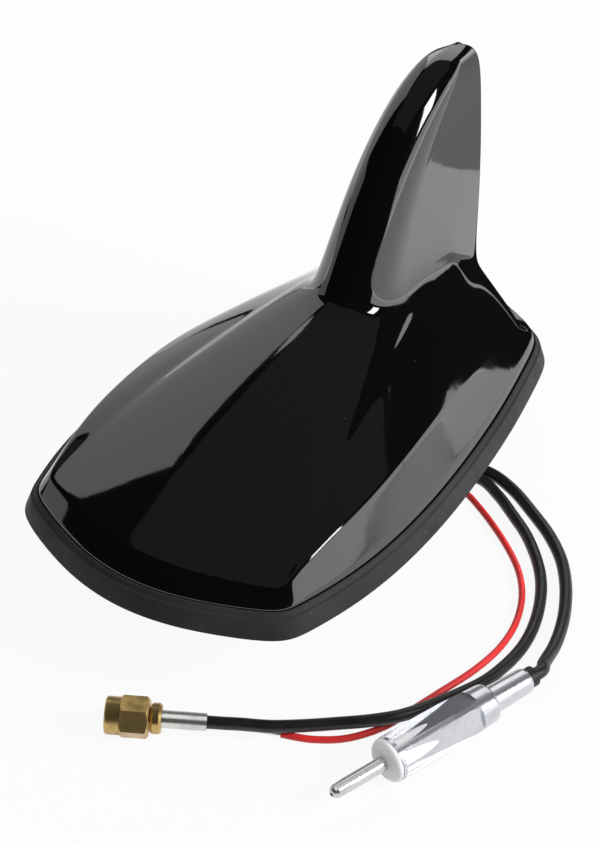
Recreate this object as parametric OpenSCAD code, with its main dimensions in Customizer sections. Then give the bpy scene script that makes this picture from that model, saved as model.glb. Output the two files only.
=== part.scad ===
// Shark fin roof aerial: rubber-skirted gloss housing with a tall fin, hollow mounting stud,
// FM lead with a car radio plug, positioning lead with a screw-on coaxial plug, red supply lead.
// Millimetres. Origin on the stud axis at the roof face, +Z up, nose towards -Y, fin to +Y.

/* [Body] */
// Length of the rubber seal over all
body_len = 149.7; // [147.5:0.2:152.3]
// Width of the rubber seal over all
body_wid = 86.6; // [84:0.2:89]
// Height of the rubber seal above the roof
seal_h = 5.8; // [5.4:0.1:6.2]
// Height of the fin tip above the roof
fin_top = 79.4; // [78:0.2:82]
// Inset of the housing rim from the foot of the seal
seal_in = 3.2; // [3:0.1:3.5]
// Wall thickness of the housing
wall = 2.2; // [1.9:0.1:2.4]
// Thickness of the seal lip under the housing rim
lip_t = 1.6; // [1.4:0.1:1.8]
// Width of the seal lip from its outer edge
lip_w = 12; // [11.5:0.5:12.5]

/* [Base] */
// Thickness of the cast base plate
plate_t = 3; // [2.6:0.1:3.4]
// Radius of the round earth pad that meets the roof
pad_r = 13; // [12:0.5:14]
// Radius of the mounting stud over its thread
stud_r = 7; // [7:1:7]
// Free length of the mounting stud below the roof face
stud_len = 16; // [15:0.5:16]
// Radius of the bore through the stud
bore_r = 4.6; // [4.5:0.05:4.7]
// Width of the side slot where the leads leave the stud
slot_w = 8.4; // [8.2:0.1:8.6]
// Height of the side slot, open at the free end
slot_h = 8; // [7.8:0.1:8.2]

/* [Electronics] */
// Underside of the main board above the roof
board_z = 8.5; // [8.3:0.1:9]
// Thickness of the main board
board_t = 1.6; // [1.2:0.2:1.6]
// Side of the square positioning patch
patch_w = 25; // [24:0.5:26]
// Thickness of the ceramic patch
patch_t = 4; // [3.5:0.5:4.5]
// Thickness of the upright fin board
fin_board_t = 1; // [0.8:0.1:1.2]

/* [Leads] */
// Depth of the resting place of the leads below the roof face
floor_z = 18.2; // [18.2:0.1:18.4]
// Diameter of the FM lead
fm_d = 3; // [2.9:0.05:3]
// Diameter of the positioning lead
gps_d = 2.8; // [2.7:0.05:2.8]
// Diameter of the red supply lead
red_d = 1.6; // [1.5:0.05:1.6]

/* [FM plug] */
// Radius of the plug shell at its front
shell_r = 4.95; // [4.85:0.05:5]
// Length of the plug shell
shell_len = 28; // [27:0.5:28.5]
// Radius of the centre contact
fm_pin_r = 1.6; // [1.5:0.05:1.7]
// Free length of the centre contact
fm_pin_len = 13.6; // [13:0.2:14]

/* [Coaxial plug] */
// Width across the flats of the coupling nut
hex_af = 8; // [8:1:8]
// Length of the coupling nut
nut_len = 9.2; // [9:0.1:9.4]
// Radial clearance of the nut on the plug body
nut_clear = 0.05; // [0.03:0.01:0.08]
// Radius of the crimp ferrule
ferrule_r = 1.9; // [1.85:0.05:2]
// Length of the crimp ferrule
ferrule_len = 9.5; // [9:0.5:10]

/* [Hidden] */
eps = 0.01;

// Plan outline of the seal, nose to tail, half of a closed smooth curve
sx = body_wid / 86.64;
sy = body_len / 149.7;
OUT = [for (p = [[0, -78.6], [12.7, -76.8], [24, -72.5], [32.4, -68.4], [36.2, -65], [38, -60],
    [41.3, -48], [43.4, -32], [43.4, -12], [41.6, 8], [39.2, 26], [36, 42], [33.6, 53],
    [31.4, 57.2], [27.8, 60.8], [19.8, 65.2], [9, 70.2], [0, 72.4]]) [p[0] * sx, p[1] * sy]];
NH = len(OUT);
HI = [for (i = [0:NH - 1]) i];
zs = (fin_top - seal_h) / 73.6;
function hz(z) = seal_h + (z - 5.8) * zs;

// Smooth closed curve through a half ring of control points
function ring(h) = concat(h, [for (i = [len(h) - 2:-1:1])
    [for (k = [0:len(h[i]) - 1]) k == 0 ? -h[i][0] : h[i][k]]]);
function bw(t) = [pow(1 - t, 3) / 6, (3 * pow(t, 3) - 6 * t * t + 4) / 6,
    (-3 * pow(t, 3) + 3 * t * t + 3 * t + 1) / 6, pow(t, 3) / 6];
function smooth(c, per) = let (n = len(c)) [for (i = [0:n - 1], j = [0:per - 1])
    let (w = bw(j / per)) w[0] * c[(i - 1 + n) % n] + w[1] * c[i]
        + w[2] * c[(i + 1) % n] + w[3] * c[(i + 2) % n]];
function nrm(h, i) = let (n = len(h),
    a = i == 0 ? [-h[1][0], h[1][1]] : [h[i - 1][0], h[i - 1][1]],
    b = i == n - 1 ? [-h[n - 2][0], h[n - 2][1]] : [h[i + 1][0], h[i + 1][1]],
    d = b - a) [d[1], -d[0]] / norm(d);
// Half ring moved inwards by one distance or by a list of distances
function inset(h, d) = [for (i = [0:len(h) - 1])
    [h[i][0], h[i][1]] - nrm(h, i) * (is_list(d) ? d[i] : d)];
function prof(t) = [for (i = HI) lookup(i, t)];
function lift(h, z) = [for (i = HI) [h[i][0], h[i][1], is_list(z) ? z[i] : z]];
function mixl(a, b, s) = [for (i = HI) a[i] * (1 - s) + b[i] * s];

// Plan section of the fin: round nose at yle, flat sides, narrow tail at yte
function fin_sec(yle, c, b, yte, bt, e = 1.5) = let (y4 = yle + c, y13 = yte - e)
    [for (p = concat([[0, yle], [0.36 * b, yle + 0.01 * c], [0.72 * b, yle + 0.2 * c],
        [0.94 * b, yle + 0.55 * c], [b, y4]],
        [for (i = [5:13]) let (s = (i - 4) / 9) [b + (bt - b) * s, y4 + (y13 - y4) * s]],
        [[bt * 0.98, yte - 0.35 * e], [bt * 0.7, yte], [bt * 0.35, yte], [0, yte]]))
        [p[0] * sx, p[1] * sy]];

// Housing levels from the rim to the tip of the fin
sill_h = prof([[0, 0.5], [3, 0.5], [4, 0.6], [8, 2.2], [12, 2.4], [17, 1.5]]);
sill_i = prof([[0, 0.3], [4, 0.3], [8, 0.9], [12, 0.9], [17, 0.5]]);
edge_i = prof([[0, 9], [3, 6.5], [4, 6], [5, 6.6], [6, 8], [8, 9.8], [9, 10.4], [10, 10.7],
    [12, 8.1], [13, 6.8], [14, 6.2], [15, 6.2], [17, 6]]) * sx;
edge_z = prof([[0, 10], [3, 9.6], [4, 9.9], [5, 11.8], [6, 15.2], [8, 18.2], [9, 16.5],
    [10, 14.9], [12, 11], [13, 9.2], [14, 8.2], [15, 7.9], [17, 7.9]]);
foot_o = prof([[0, 3.4], [4, 4], [12, 3.6], [14, 2.2], [17, 1.4]]);
foot_z = prof([[0, 33.4], [4, 29.6], [7, 27.4], [10, 23.4], [12, 17.4], [13, 14.4],
    [14, 11.6], [15, 10.4], [17, 10.2]]);
function add(v, a) = [for (i = HI) v[i] + a];
function hzl(v) = [for (i = HI) hz(v[i])];
rim = inset(OUT, seal_in);
sill = inset(OUT, add(sill_i, seal_in));
edge = inset(OUT, edge_i);
foot = inset(fin_sec(4.4, 11, 9.8, 65.9, 5.2, 2), foot_o * -sx);
// Fin stations: nose, depth of the round nose, half width, tail, half width at the tail,
// height over the nose, height over the tail
FIN = [[9.4, 10, 8.5, 65.8, 4.3, 47, 33], [15.4, 9.4, 7.7, 64.2, 4, 57.5, 48],
    [22.6, 9.4, 6.9, 62.4, 3.7, 67, 60], [31.6, 9.2, 6.1, 61, 3.5, 74.8, 68],
    [40.5, 6.4, 4.6, 59.6, 3, 78.6, 74.2], [45.6, 3, 2.6, 57.2, 2, 79.5, 77.4]];
function fin_level(f, w = 0) = lift(fin_sec(f[0] + w, f[1] - w / 2, f[2] - w,
    f[3] - w, max(0.8, f[4] - w)), [for (i = HI) hz(f[5] + (f[6] - f[5]) * i / 17)]);
outer = concat([lift(rim, seal_h - 1.2), lift(rim, seal_h + 0.1),
    lift(sill, add(sill_h, seal_h)), lift(sill, add(sill_h, seal_h)),
    lift(edge, hzl(edge_z)), lift(edge, hzl(edge_z))],
    [for (q = [[0.22, 0.34], [0.46, 0.62], [0.72, 0.85]])
        lift(mixl(edge, foot, q[0]), hzl(mixl(edge_z, add(foot_z, -1), q[1])))],
    [lift(foot, hzl(add(foot_z, -0.6))),
    lift(inset(fin_sec(4.4, 11, 9.6, 66, 5), -0.9 * sx), hzl(add(foot_z, 1.2))),
    lift(fin_sec(5.8, 10.6, 9.2, 66.4, 4.7), hzl(add(foot_z, 6)))],
    [for (f = FIN) fin_level(f)],
    [lift(fin_sec(49.8, 0.8, 0.6, 53.6, 0.5, 0.3), hzl(prof([[0, 79.4], [17, 78.9]])))]);
inner = concat([lift(inset(OUT, seal_in + wall), seal_h + 0.5),
    lift(inset(OUT, add(edge_i, wall * 0.8)), hzl(add(edge_z, -wall * 0.8)))],
    [for (q = [[0.3, 0.42], [0.66, 0.78]])
        lift(mixl(inset(OUT, add(edge_i, wall * 0.8)), foot, q[0]),
        hzl(mixl(add(edge_z, -wall * 0.8), add(foot_z, -2.4 - wall), q[1])))],
    [lift(fin_sec(4.8 + wall, 10, 8.7 - wall, 65.4 - wall, 4.4 - wall),
        hzl(add(foot_z, -2.4))),
    lift(fin_sec(6.8 + wall, 9.6, 8.4 - wall, 65.6 - wall, 4.2 - wall),
        hzl(add(foot_z, 5)))],
    [for (i = [0:2]) fin_level(FIN[i], wall + 0.3)],
    [lift(fin_sec(34, 8, 3, 57.5, 1.2), hzl(prof([[0, 73], [17, 66]])))]);

// Smooth surface through the levels, per steps to each level
function lev(l, i) = l[max(0, min(len(l) - 1, i))];
function skin(l, per) = let (r = [for (a = l) smooth(ring(a), 2)], n = len(l))
    concat([for (i = [0:n], j = [0:per - 1]) let (w = bw(j / per))
        w[0] * lev(r, i - 2) + w[1] * lev(r, i - 1) + w[2] * lev(r, i) + w[3] * lev(r, i + 1)],
        [r[n - 1]]);
// Closed solid from a stack of rings, capped by points at both ends
function flat(rs) = [for (r = rs, p = r) p];
function quads(n, a, b) = [for (i = [0:n - 1]) each [
    [a + i, b + (i + 1) % n, a + (i + 1) % n], [a + i, b + i, b + (i + 1) % n]]];
function mid(r) = [for (k = [0:2]) min([for (p = r) p[k]]) / 2 + max([for (p = r) p[k]]) / 2];
module shell_solid(o, i) {
    n = len(o[0]);
    no = len(o);
    ni = len(i);
    pts = concat(flat(o), flat(i), [mid(o[no - 1]), mid(i[ni - 1])]);
    c = (no + ni) * n;
    faces = concat(
        [for (k = [0:no - 2]) each quads(n, k * n, (k + 1) * n)],
        [for (k = [0:n - 1]) [(no - 1) * n + k, c, (no - 1) * n + (k + 1) % n]],
        [for (k = [0:ni - 2]) each quads(n, (no + k + 1) * n, (no + k) * n)],
        [for (k = [0:n - 1]) [(no + ni - 1) * n + (k + 1) % n, c + 1, (no + ni - 1) * n + k]],
        quads(n, no * n, 0));
    polyhedron(pts, faces, convexity = 8);
}
module band_solid(rs) {
    n = len(rs[0]);
    m = len(rs);
    polyhedron(flat(rs), [for (k = [0:m - 1]) each quads(n, k * n, ((k + 1) % m) * n)],
        convexity = 8);
}

// Tube along a smooth route through hand-placed points
function cr(p, i) = p[max(0, min(len(p) - 1, i))];
function spline(p, k, t) = let (a = cr(p, k - 1), b = cr(p, k), c = cr(p, k + 1), d = cr(p, k + 2))
    0.5 * (2 * b + (c - a) * t + (2 * a - 5 * b + 4 * c - d) * t * t
        + (3 * b - a - 3 * c + d) * t * t * t);
function route(p, per) = concat([for (k = [0:len(p) - 2], j = [0:per - 1])
    spline(p, k, j / per)], [p[len(p) - 1]]);
function unit(v) = v / norm(v);
function tang(q, i) = unit(cr(q, i + 1) - cr(q, i - 1));
function frames(q, i = 0, u = [0, 1, 0], acc = []) = i == len(q) ? acc :
    let (t = tang(q, i), v = unit(u - t * (u * t)))
    frames(q, i + 1, v, concat(acc, [[v, cross(t, v)]]));
module tube(p, d, per = 1, sides = 8) {
    q = route(p, per);
    f = frames(q);
    n = sides;
    m = len(q);
    pts = [for (i = [0:m - 1], k = [0:n - 1]) q[i] + d / 2
        * (cos(k * 360 / n) * f[i][0] + sin(k * 360 / n) * f[i][1])];
    polyhedron(pts, concat([for (i = [0:m - 2]) each quads(n, i * n, (i + 1) * n)],
        [[for (k = [0:n - 1]) k]], [[for (k = [n - 1:-1:0]) (m - 1) * n + k]]),
        convexity = 8);
}

// Lead routes: d outwards through the slot, s sideways across it
function sl(d, s, z) = [(d - s) * 0.7071, (d + s) * 0.7071, z];
gz = -floor_z + gps_d / 2;
fz = -floor_z + fm_d / 2;
rz = -floor_z + red_d / 2;
gps_s = -0.75;
fm_s = 2.3;
red_s = -3.1;
in_d = 0.3;
GPS = [sl(in_d, gps_s, board_z), sl(in_d, gps_s, 3), sl(in_d, gps_s, -4), sl(1.4, gps_s, -9.4),
    sl(4.6, gps_s, -13), sl(9.6, -0.8, gz + 1.2), sl(15.6, -0.6, gz + 0.2), [19, 17.2, gz],
    [26, 22.2, gz], [33, 24.4, gz], [39.5, 21.6, gz], [46, 17.2, gz], [52.4, 12.4, gz],
    [58.4, 6.2, gz], [62.6, 0.4, gz], [65.7, -5.8, gz], [68, -12.4, gz], [69.4, -19.4, gz],
    [69.5, -26.6, gz], [68.2, -35, gz], [65.6, -42, gz + 0.1], [62.4, -49.9, gz + 0.8],
    [59.1, -57, gz + 1.8], [54.4, -62.2, gz + 1.8], [49, -66.6, gz + 1.4],
    [43.6, -71.4, gz + 1.5], [38.6, -75.7, gz + 1.9], [33.4, -79.3, gz + 2.45]];
FML = [sl(in_d, fm_s, board_z), sl(in_d, fm_s, 3), sl(in_d, fm_s, -4), sl(1.4, fm_s, -9.4),
    sl(4.6, fm_s, -13), sl(9.6, 2.4, fz + 1.2), sl(15.6, 2.6, fz + 0.2), [16.6, 19.8, fz],
    [24.6, 25.6, fz], [33.4, 27.8, fz], [41.6, 25.4, fz], [49.6, 20.6, fz], [56.8, 15.6, fz],
    [63.2, 9.4, fz], [68.1, 2.2, fz], [71.8, -5.4, fz], [74.1, -12, fz + 0.1],
    [75.7, -18.6, fz + 0.8], [76.8, -25.4, fz + 2.3]];
RED = [sl(in_d, red_s, board_z), sl(in_d, red_s, 3), sl(in_d, red_s, -4), sl(1.4, red_s, -9.8),
    sl(4.6, red_s, -13.6), sl(9.6, -3.2, rz + 1.2), sl(15.6, -3.4, rz + 0.2), [19.8, 13.8, rz],
    [25.6, 17.6, rz], [31.8, 18.4, rz], [38, 15.4, rz], [45, 10.8, rz], [51.2, 6, rz],
    [56.4, 1, rz], [60.4, -4.6, rz], [63.2, -10.8, rz], [64.9, -17.6, rz], [65.3, -25.2, rz],
    [64.1, -34, rz], [61.6, -43.4, rz], [59.4, -51.4, rz], [56.9, -59.8, rz],
    [52.4, -67, rz], [46.6, -71.6, rz], [40.4, -74.2, rz]];

// Places of the two plugs, local +Z runs forwards along the plug
FM_AT = [77.1, -31.6, -floor_z + 5];
FM_DIR = -107.9;
CO_AT = [27.5, -83, -floor_z + hex_af / 2];
CO_DIR = -149.8;
module at_fm(s = 0) {
    translate(FM_AT) rotate([0, 0, FM_DIR]) rotate([0, 90, 0]) translate([0, 0, s]) children();
}
module at_coax(s = 0) {
    translate(CO_AT) rotate([0, 0, CO_DIR]) rotate([0, 90, 0]) translate([0, 0, s]) children();
}

// Body pieces
plate_z = lip_t + plate_t;
plate_i = seal_in + wall + 0.35;
seat_r = stud_r + 0.3;
seat_h = 1.9;
neck_s = 6;
boss_r = 3.2;
boss_x = 21 * sx;
BOSS = [[boss_x, -46 * sy, hz(15.4)], [boss_x, 22 * sy, hz(18.8)]];
// Main board: half width, rear edge of the patch, screw places
board_hw = boss_x - boss_r - 0.6;
patch_back = -15.5;
patch_y = patch_back - patch_w / 2;
head_r = 2.3;
post_y = patch_back - patch_w - head_r - 0.5;
POST = [[12 * sx, post_y], [12 * sx, 10.5]];
tail_y = 44 * sy;
module mirrored() {
    children();
    mirror([1, 0, 0]) children();
}
module plan(h) {
    polygon([for (p = smooth(ring(inset(OUT, h)), 2)) [p[0], p[1]]]);
}

module housing_shell() {
    shell_solid(concat([[for (p = smooth(ring(rim), 2)) [p[0], p[1], lip_t]]],
        skin(outer, 2)), concat([[for (p = smooth(ring(inset(OUT, seal_in + wall)), 2))
        [p[0], p[1], lip_t]]], [for (l = inner) smooth(ring(l), 2)]));
}
module fin_housing() {
    color("black") union() {
        housing_shell();
        mirrored() for (p = BOSS) translate([p[0], p[1], plate_z]) difference() {
            cylinder(h = p[2] - plate_z, r = boss_r);
            translate([0, 0, -1]) cylinder(h = p[2] - plate_z - 0.4, r = 1.5);
        }
    }
}

module base_seal() {
    function sr(i, z) = [for (p = smooth(ring(inset(OUT, i)), 2)) [p[0], p[1], z]];
    color("dimgray") band_solid([sr(lip_w, 0), sr(0.15, 0), sr(0, 0.4), sr(1.55, seal_h - 1.2),
        sr(1.95, seal_h - 1.05), sr(seal_in - 0.15, seal_h), sr(seal_in - 0.1, seal_h),
        sr(seal_in - 0.1, lip_t), sr(lip_w, lip_t)]);
}

module base_plate() {
    color("silver") difference() {
        union() {
            translate([0, 0, lip_t]) linear_extrude(plate_t) plan(plate_i);
            cylinder(h = lip_t + 1, r = pad_r);
            translate([0, 0, lip_t + 1]) cylinder(h = plate_t + 0.4, r = 10);
            mirrored() for (p = POST) translate([p[0], p[1], plate_z - 1])
                cylinder(h = board_z - plate_z + 1, r = 2.6);
            translate([0, tail_y, plate_z - 1]) cylinder(h = board_z - plate_z + 1, r = 2.6);
        }
        translate([0, 0, -1]) cylinder(h = 12, r = neck_s);
        translate([0, 0, -1]) cylinder(h = seat_h + 1, r = seat_r);
        mirrored() for (p = BOSS) {
            translate([p[0], p[1], 0]) cylinder(h = 8, r = 1.6);
            translate([p[0], p[1], 0]) cylinder(h = lip_t + 1.5, r = 3.2);
        }
        mirrored() for (p = POST) translate([p[0], p[1], 3]) cylinder(h = 9, r = 1.05);
        translate([0, tail_y, 3]) cylinder(h = 9, r = 1.05);
    }
}

module mount_stud() {
    color("gainsboro") difference() {
        union() {
            translate([0, 0, -stud_len + 1]) cylinder(h = stud_len - 1, r = stud_r);
            translate([0, 0, -stud_len]) cylinder(h = 1, r1 = stud_r - 0.9, r2 = stud_r);
            cylinder(h = seat_h, r = seat_r);
            cylinder(h = plate_z + 0.4, r = neck_s);
        }
        translate([0, 0, -stud_len - 1]) cylinder(h = stud_len + 10, r = bore_r);
        rotate([0, 0, 45]) translate([0, -slot_w / 2, -stud_len - 1])
            cube([20, slot_w, slot_h + 1]);
    }
}

module lead_gland() {
    color("black") difference() {
        translate([0, 0, -2]) cylinder(h = plate_z + 2.4, r = bore_r);
        for (q = [[gps_s, gps_d], [fm_s, fm_d], [red_s, red_d]])
            translate(sl(in_d, q[0], -4)) cylinder(h = 16, r = q[1] / 2);
    }
}

module board_shape() {
    difference() {
        union() {
            translate([-board_hw, post_y - 3.3]) square([2 * board_hw, 17.1 - post_y]);
            translate([-8, 0]) square([16, tail_y + 4.6]);
        }
        mirrored() for (p = POST) translate(p) circle(r = 1.3);
        translate([0, tail_y]) circle(r = 1.3);
    }
}
module main_board() {
    color("green") translate([0, 0, board_z]) linear_extrude(board_t) board_shape();
}
module board_screws() {
    color("silver") {
        mirrored() for (p = POST) translate([p[0], p[1], 0]) board_screw();
        translate([0, tail_y, 0]) board_screw();
    }
}
module board_screw() {
    translate([0, 0, 3.4]) cylinder(h = board_z + board_t - 3.4 + eps, r = 1.05);
    difference() {
        translate([0, 0, board_z + board_t]) cylinder(h = 1.5, r1 = head_r, r2 = 1.8);
        translate([0, 0, board_z + board_t + 0.7]) cylinder(h = 2, r = 0.9, $fn = 6);
    }
}
module housing_screws() {
    color("silver") mirrored() for (p = BOSS) translate([p[0], p[1], 0]) difference() {
        union() {
            translate([0, 0, lip_t - 0.3]) cylinder(h = 1.8, r = 2.9);
            translate([0, 0, lip_t + 1]) cylinder(h = p[2] - lip_t - 3.8, r = 1.48);
        }
        cylinder(h = lip_t + 0.7, r = 1.2, $fn = 6);
    }
}

patch_z = board_z + board_t;
module patch_pad() {
    color("white") translate([-patch_w / 2, patch_back - patch_w, patch_z])
        cube([patch_w, patch_w, 0.6]);
}
module patch_ceramic() {
    color("tan") translate([-patch_w / 2, patch_back - patch_w, patch_z + 0.6])
        cube([patch_w, patch_w, patch_t]);
}
module patch_electrode() {
    color("silver") {
        translate([0, 0, patch_z + 0.6 + patch_t]) linear_extrude(0.15) difference() {
            translate([-patch_w / 2 + 2, patch_back - patch_w + 2])
                square([patch_w - 4, patch_w - 4]);
            translate([patch_w / 2 - 4, patch_back - 2]) rotate(45) square([4, 4]);
            translate([-patch_w / 2, patch_back - patch_w - 1]) rotate(45) square([4, 4]);
        }
        translate([0, patch_y + 1.8, patch_z + 0.6 + patch_t + 0.1]) cylinder(h = 0.6, r = 0.9);
    }
}
module amp_can() {
    w = board_hw - 2.6;
    color("silver") translate([-board_hw + 1.6, patch_back + 2.5, patch_z]) difference() {
        cube([w, 18, 4.2]);
        translate([0.4, 0.4, -1]) cube([w - 0.8, 17.2, 4.8]);
        for (i = [1:3], j = [0:3]) translate([i * w / 4, 3 + j * 4, 3]) cylinder(h = 2, r = 0.7);
    }
}
module fm_chip() {
    color("black") {
        translate([5 * sx, 1.5, patch_z + 0.1]) cube([5, 4, 1.6]);
        for (i = [0:3], s = [0, 1]) translate([5 * sx + 0.4 + i * 1.2, 0.7 + s * 4.8, patch_z])
            cube([0.5, 1.1 - 0.3 * s, 0.8]);
    }
}
module choke_coils() {
    color("orange") for (p = [[6 * sx, -9], [11.5 * sx, -9]]) for (i = [0:5])
        translate([p[0], p[1] + i * 0.9, patch_z + 1.9]) rotate([90, 0, 0])
            rotate_extrude() translate([1.6, 0]) circle(r = 0.3);
}
module capacitors() {
    color("saddlebrown") {
        for (p = [[3, -3.4], [7, -3.4], [11, -3.4], [3.2, 9], [-5, 8.4]])
            translate([p[0] * sx, p[1], patch_z]) cube([2, 1.25, 0.9]);
        translate([11.5 * sx, patch_back + 2.5, patch_z]) cylinder(h = 5.4, r = 2);
    }
}

// Upright board with the FM radiator, inside the fin
FB = [[17, 0], [17, 22], [24, 40], [32.5, 54], [40, 57.8], [52, 54.6], [54, 46], [56.5, 28],
    [57, 14], [38, 7], [38, 0]];
module fin_board() {
    color("darkgreen") translate([-fin_board_t / 2, 0, 0]) rotate([90, 0, 90])
        linear_extrude(fin_board_t) polygon([for (p = FB) [p[0] * sy, patch_z + p[1] * zs]]);
}
module fin_trace() {
    color("orange") translate([fin_board_t / 2, 0, 0]) rotate([90, 0, 90])
        linear_extrude(0.2) union() {
            translate([20 * sy, patch_z + 2]) square([1.6, 8 * zs]);
            for (i = [0:7]) translate([(20 + 1.35 * i) * sy, patch_z + (8 + 6 * i) * zs])
                square([(29.8 - 1.3 * i) * sy, 1.6]);
            for (i = [0:6]) translate([i % 2 == 0 ? (49.8 + 0.05 * i) * sy - 1.6
                : (20 + 1.35 * (i + 1)) * sy, patch_z + (8 + 6 * i) * zs])
                square([1.6, 6 * zs + 1]);
        }
}
module contact_spring() {
    color("gold") translate([-2, 17 * sy - 4.6, patch_z]) {
        cube([4, 4, 0.4]);
        cube([4, 0.4, 5]);
        translate([0, 0, 4.6]) cube([4, 4, 0.4]);
    }
}

// FM plug
boot_len = 2.2;
collar_len = 10.8;
nose_len = 1.7;
s_shell = boot_len + collar_len;
s_nose = s_shell + shell_len;
module fm_boot() {
    color("black") at_fm() difference() {
        union() {
            cylinder(h = boot_len, r = 2.3);
            translate([0, 0, boot_len - eps]) cylinder(h = 5, r = 2);
        }
        translate([0, 0, -1]) cylinder(h = 4.2, r = fm_d / 2);
    }
}
module fm_collar() {
    color("silver") at_fm(boot_len) difference() {
        union() {
            cylinder(h = 0.6, r1 = 2.65, r2 = 2.85);
            translate([0, 0, 0.6]) cylinder(h = collar_len - 0.6, r1 = 2.85, r2 = 3.15);
            translate([0, 0, collar_len - eps]) cylinder(h = 3, r = 2.9);
        }
        translate([0, 0, -1]) cylinder(h = 6.0, r = 2);
    }
}
module fm_shell() {
    color("silver") at_fm(s_shell) difference() {
        union() {
            rotate_extrude() polygon(concat([[0, 0], [shell_r - 1.7, 0]],
                [for (a = [15:15:90]) [shell_r - 1.75 + 1.2 * sin(a), 1.2 - 1.2 * cos(a)]],
                [[shell_r - 0.05, 12], [shell_r, 20], [shell_r, shell_len],
                [0, shell_len]]));
        }
        translate([0, 0, -1]) cylinder(h = 4, r = 2.9);
        translate([0, 0, 2.9]) cylinder(h = shell_len, r = shell_r - 1.85);
        for (a = [20, 110, 200, 290]) rotate([0, 0, a]) translate([-shell_r, 0, 5.2])
            rotate([0, 3.4, 0]) translate([-4, -3, 0]) cube([5.15, 6, 22]);
    }
}
module fm_insulator() {
    color("white") at_fm(s_shell + 3) difference() {
        union() {
            cylinder(h = shell_len - 3 + 0.4, r = shell_r - 1.85);
            translate([0, 0, shell_len - 3]) rotate_extrude() polygon(concat([[0, 0],
                [shell_r - 0.15, 0]], [for (a = [0:12.5:75])
                [2.4 + (shell_r - 2.6) * cos(a), 0.3 + (nose_len - 0.4) * sin(a)]],
                [[0, nose_len]]));
        }
        translate([0, 0, 4]) cylinder(h = 40, r = fm_pin_r - 0.35);
    }
}
module fm_pin() {
    color("silver") at_fm(s_shell + 7) {
        h = shell_len - 7 + nose_len;
        cylinder(h = h + 1, r = fm_pin_r - 0.35);
        translate([0, 0, h]) cylinder(h = fm_pin_len - 4, r = fm_pin_r);
        translate([0, 0, h + fm_pin_len - 4]) rotate_extrude() polygon([[0, 0], [fm_pin_r, 0],
            [fm_pin_r - 0.12, 2.9], [fm_pin_r - 0.32, 3.5], [fm_pin_r - 0.62, 3.85],
            [fm_pin_r - 0.85, 4], [0.45, 3.7], [0, 3.5]]);
    }
}

// Screw-on coaxial plug
collar_h = 2.3;
s_nut = ferrule_len + collar_h + 0.3;
neck_r = 2.3;
module coax_ferrule() {
    color("silver") at_coax() difference() {
        cylinder(h = ferrule_len, r = ferrule_r);
        translate([0, 0, -1]) cylinder(h = ferrule_len - 3, r = gps_d / 2);
        translate([0, 0, ferrule_len - 4.5]) cylinder(h = 5, r = 1.5);
    }
}
module coax_body() {
    color("goldenrod") at_coax(ferrule_len) difference() {
        union() {
            translate([0, 0, -4.4]) cylinder(h = 4.5, r = 1.5);
            cylinder(h = 0.5, r1 = 2.9, r2 = 3.3);
            translate([0, 0, 0.5]) cylinder(h = 1.3, r = 3.3);
            translate([0, 0, 1.8]) cylinder(h = 0.5, r1 = 3.3, r2 = 2.9);
            translate([0, 0, 2.2]) cylinder(h = 8.2, r = neck_r);
            translate([0, 0, collar_h + 0.3 + 1.5 + 0.35]) cylinder(h = 1.4, r = 3);
        }
        translate([0, 0, 4.6]) cylinder(h = 10, r = 1.95);
        translate([0, 0, -5]) cylinder(h = 12, r = 0.9);
    }
}
module coax_insulator() {
    color("white") at_coax(ferrule_len + 4.6) difference() {
        cylinder(h = 5.8, r = 1.95);
        translate([0, 0, -1]) cylinder(h = 9, r = 0.46);
    }
}
module coax_pin() {
    color("gold") at_coax(ferrule_len + 4.6) {
        cylinder(h = 6.6, r = 0.46);
        translate([0, 0, 6.6 - eps]) cylinder(h = 0.5, r1 = 0.46, r2 = 0.16);
    }
}
module coax_nut() {
    color("goldenrod") at_coax(s_nut) difference() {
        union() {
            intersection() {
                rotate(30) cylinder(h = 6.2, r = hex_af / sqrt(3), $fn = 6);
                union() {
                    cylinder(h = 0.6, r1 = hex_af / sqrt(3) - 0.75, r2 = hex_af / sqrt(3));
                    translate([0, 0, 0.6]) cylinder(h = 5, r = hex_af / sqrt(3));
                    translate([0, 0, 5.6]) cylinder(h = 0.6, r1 = hex_af / sqrt(3),
                        r2 = hex_af / sqrt(3) - 0.75);
                }
            }
            translate([0, 0, 6.1]) cylinder(h = nut_len - 6.4, r = hex_af / 2 + 0.03);
            translate([0, 0, nut_len - 0.4]) cylinder(h = 0.4, r1 = hex_af / 2 + 0.03,
                r2 = hex_af / 2 - 0.3);
        }
        translate([0, 0, -1]) cylinder(h = 4, r = neck_r + nut_clear);
        translate([0, 0, 1.5]) cylinder(h = nut_len, r = 3.15);
        translate([0, 0, nut_len - 0.35]) cylinder(h = 0.4, r1 = 3.15, r2 = 3.5);
    }
}

// Leads
module gps_lead() {
    d = [cos(CO_DIR), sin(CO_DIR), 0];
    color("black") tube(concat(GPS, [CO_AT - d * 3, CO_AT + d * 5]), gps_d);
}
module fm_lead() {
    d = [cos(FM_DIR), sin(FM_DIR), 0];
    color("black") tube(concat(FML, [FM_AT - d * 2.5, FM_AT + d * 3.2]), fm_d);
}
module power_lead() {
    color("red") tube(RED, red_d);
}
module power_lead_tip() {
    e = RED[len(RED) - 1];
    d = unit(e - RED[len(RED) - 2]);
    color("silver") translate(e) rotate([0, 0, atan2(d[1], d[0])]) rotate([0, 90, 0])
        cylinder(h = 5, r = 0.5);
}

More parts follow.
